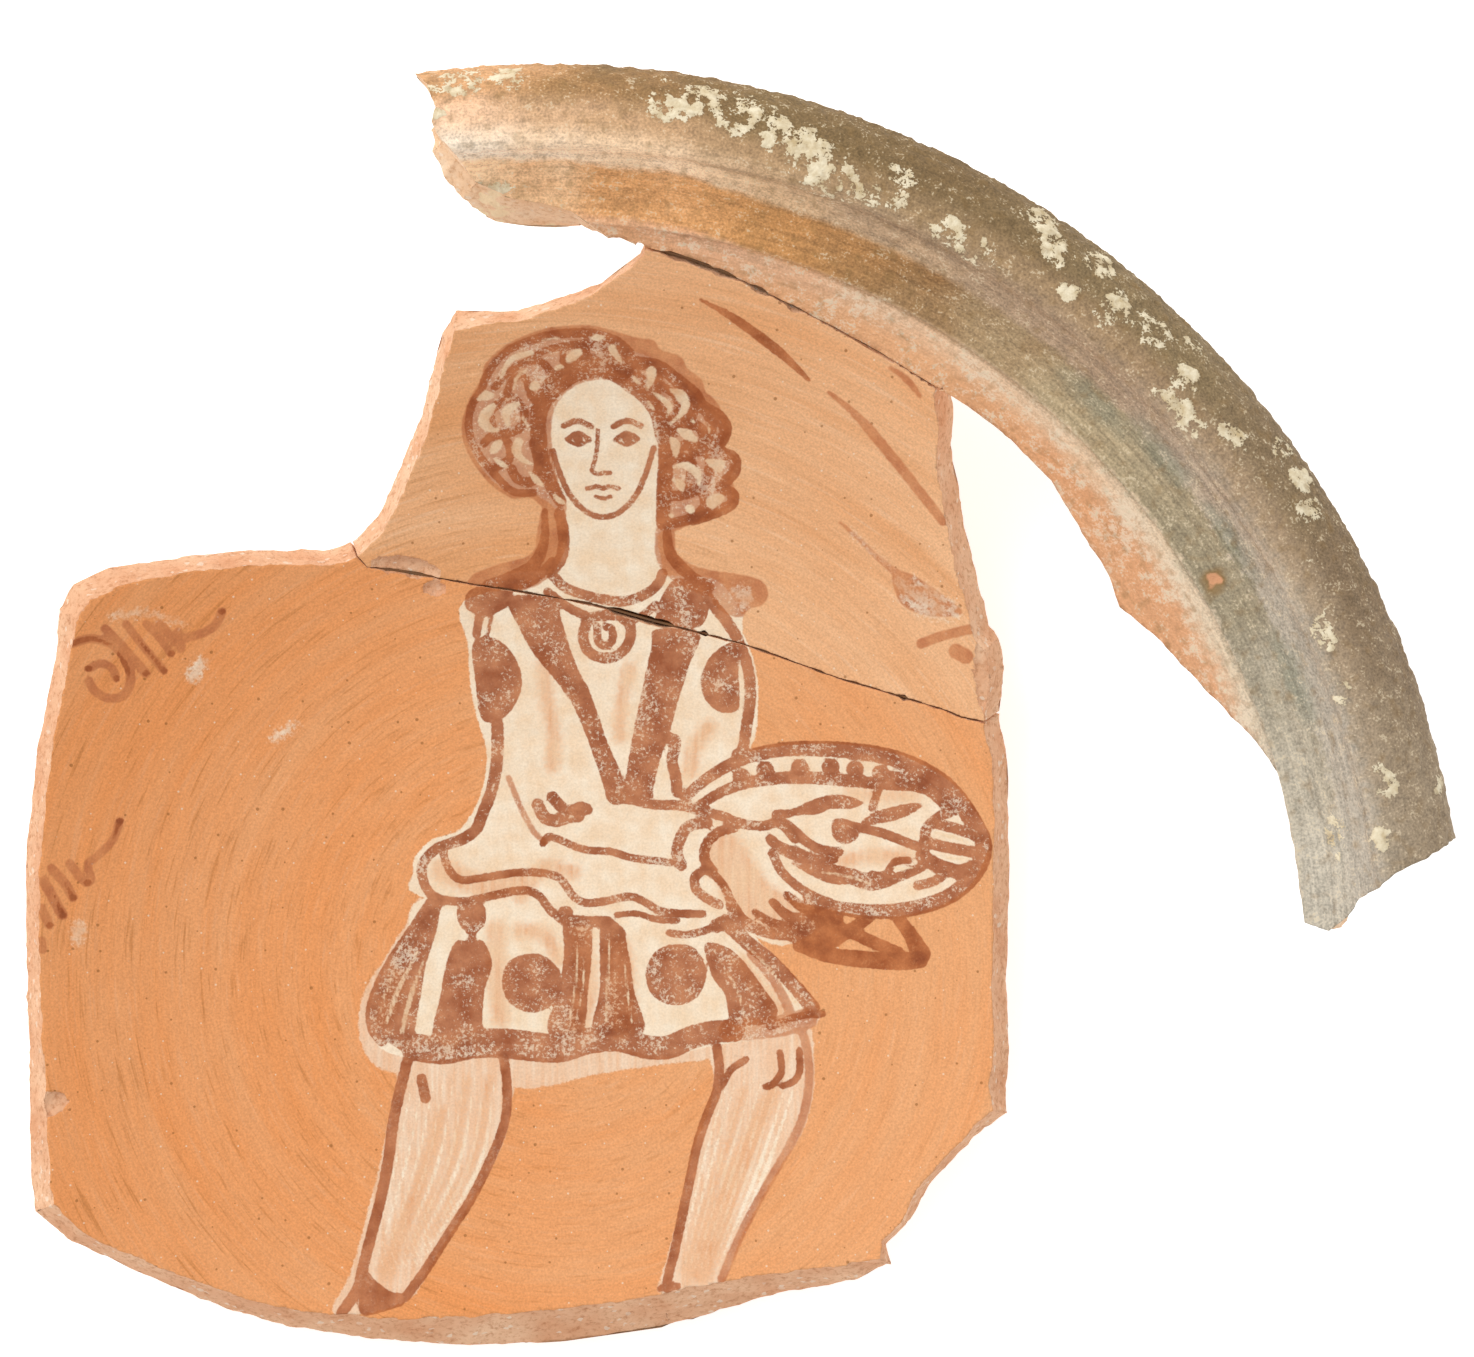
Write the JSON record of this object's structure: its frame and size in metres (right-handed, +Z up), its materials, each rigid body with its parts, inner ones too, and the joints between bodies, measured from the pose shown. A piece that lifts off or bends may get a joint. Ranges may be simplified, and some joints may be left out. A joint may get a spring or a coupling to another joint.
{
  "type": "painted bowl",
  "caption": "Mended sherds of a wide wheel-thrown earthenware bowl: slipped floor with a painted figure, disc base and a heavy moulded rim, for display or as an open dish.",
  "frame": {"origin": "middle of the underside of the disc base, on the bowl's axis", "axes": "+Z up the bowl's axis, +X to the right and +Y to the top of the picture, which looks straight down"},
  "size_m": [0.2861, 0.2587, 0.082],
  "materials": {
    "orange_slip_earthenware": "matt orange slip with cream and red-brown painting",
    "pale_orange_slip_earthenware": "matt pale orange slip with cream and red-brown painting",
    "smoked_rim_earthenware": "matt, smoked brown-grey, with pale lime crust",
    "aged_adhesive": "dull dark resin"
  },
  "bodies": {
    "root": {"lower_sherd": "orange_slip_earthenware", "upper_sherd": "pale_orange_slip_earthenware", "rim_sherd": "smoked_rim_earthenware", "floor_join_adhesive": "aged_adhesive", "rim_join_adhesive": "aged_adhesive"}
  },
  "joints": []
}
